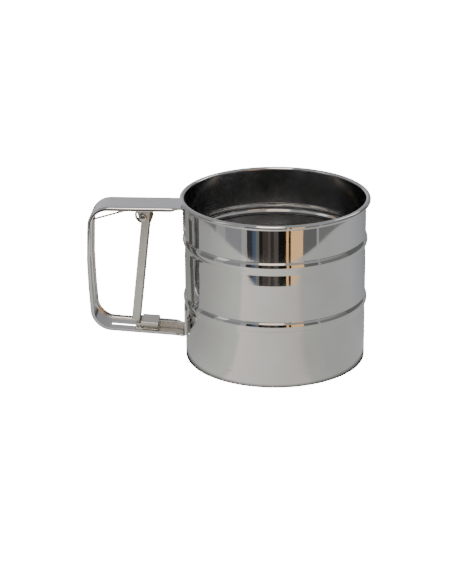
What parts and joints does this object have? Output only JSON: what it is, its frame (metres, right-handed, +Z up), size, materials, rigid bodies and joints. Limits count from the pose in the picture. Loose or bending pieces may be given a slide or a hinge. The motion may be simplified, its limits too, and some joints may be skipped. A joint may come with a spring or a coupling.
{
  "type": "flour sifter",
  "caption": "Hand flour sifter: beaded steel cup with a fine screen and a swinging agitator, worked by a squeeze trigger in a channel-section handle.",
  "frame": {"origin": "centre of the cup's bottom edge, on the surface that the sifter stands on", "axes": "+Z up along the cup's axis; the handle points to -X"},
  "size_m": [0.156, 0.1048, 0.093],
  "materials": {
    "polished_steel": "mirror polished stainless sheet",
    "handle_steel": "polished stainless strip",
    "pressed_steel": "mill-bright pressed stainless sheet",
    "agitator_steel": "fine brushed stainless sheet",
    "rivet_steel": "turned bright steel",
    "screen_wire": "plain-woven fine wire",
    "spring_wire": "drawn spring wire"
  },
  "bodies": {
    "cup": {"cup_shell": "polished_steel", "screen_frame": "pressed_steel", "screen": "screen_wire", "support_spider": "pressed_steel", "axle_rivet": "rivet_steel", "lower_washer": "rivet_steel", "upper_washer": "rivet_steel", "spacer_bush": "rivet_steel", "cap_washer": "rivet_steel", "handle_strip": "handle_steel", "pivot_bracket": "pressed_steel", "pivot_pin": "rivet_steel", "return_spring": "spring_wire"},
    "trigger": {"trigger": "pressed_steel"},
    "drive": {"drive_strip": "pressed_steel", "strip_saddle": "pressed_steel"},
    "agitator": {"agitator": "agitator_steel", "crank_pin": "rivet_steel", "crank_collar": "rivet_steel", "crank_washer": "rivet_steel"}
  },
  "joints": [
    {"name": "trigger_squeeze", "type": "hinge", "parent": "cup", "child": "trigger", "pos_m": [-0.0722, 0, 0.0804], "axis": [0, 1, 0], "range_deg": [0, 9.5], "stiffness_Nm_per_rad": 0.5, "springref_deg": -20.05, "deforming": ["return_spring"]},
    {"name": "strip_slide", "type": "slide", "parent": "cup", "child": "drive", "axis": [-0.998, 0, 0.0628], "range_m": [0, 0.0104]},
    {"name": "agitator_swing", "type": "hinge", "parent": "cup", "child": "agitator", "pos_m": [0, 0, 0.0096], "axis": [0, 0, 1], "range_deg": [0, 87.8]}
  ],
  "couplings": [
    {"joint": "strip_slide", "follows": "trigger_squeeze", "m_per_rad": 0.0627},
    {"joint": "agitator_swing", "follows": "trigger_squeeze", "ratio": 9.238}
  ]
}
